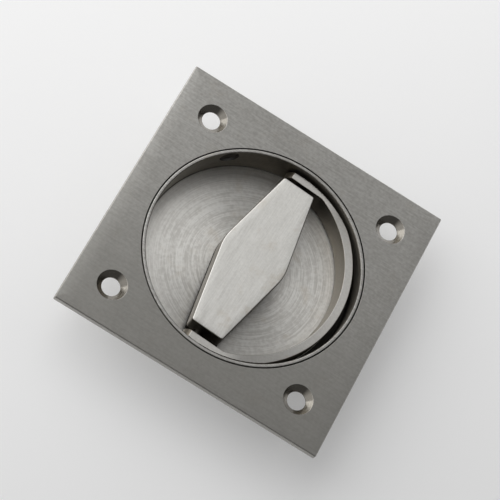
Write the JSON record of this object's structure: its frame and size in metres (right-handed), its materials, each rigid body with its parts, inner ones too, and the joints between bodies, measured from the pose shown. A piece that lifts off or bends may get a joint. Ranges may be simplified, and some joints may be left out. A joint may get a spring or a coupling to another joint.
{
  "type": "recessed ring pull",
  "caption": "Square door plate with a round cup holding a six-sided turn bar and a half ring that folds out for pulling; square spindle socket at the back.",
  "frame": {"origin": "middle of the plate's back face, the face that lies on the door", "axes": "+Z out of the door towards the user, +Y along one plate side; the bar stands 3 degrees off +Y towards +X and the ring lies on the +X side"},
  "size_m": [0.085, 0.085, 0.018],
  "materials": {
    "plate_steel": "brushed along one side",
    "cup_steel": "turned, fine rings",
    "bar_steel": "brushed along its length",
    "ring_steel": "brushed",
    "pin_steel": "ground",
    "washer_steel": "plain",
    "clip_steel": "dark spring steel",
    "bush_nylon": "plain"
  },
  "bodies": {
    "plate_and_cup": {"face_plate": "plate_steel", "cup": "cup_steel", "flange_bush": "bush_nylon"},
    "bar": {"turn_bar": "bar_steel", "pivot_pin_upper": "pin_steel", "pivot_pin_lower": "pin_steel", "thrust_washer": "washer_steel", "hub_clip": "clip_steel"},
    "ring": {"pull_ring": "ring_steel"}
  },
  "joints": [
    {"name": "bar_turn", "type": "hinge", "parent": "plate_and_cup", "child": "bar", "pos_m": [0, 0, 0], "axis": [0, 0, 1], "continuous": true},
    {"name": "ring_fold", "type": "hinge", "parent": "bar", "child": "ring", "pos_m": [-0.0014, 0.00007, -0.004], "axis": [-0.0523, -0.9986, 0], "range_deg": [0, 110]}
  ]
}
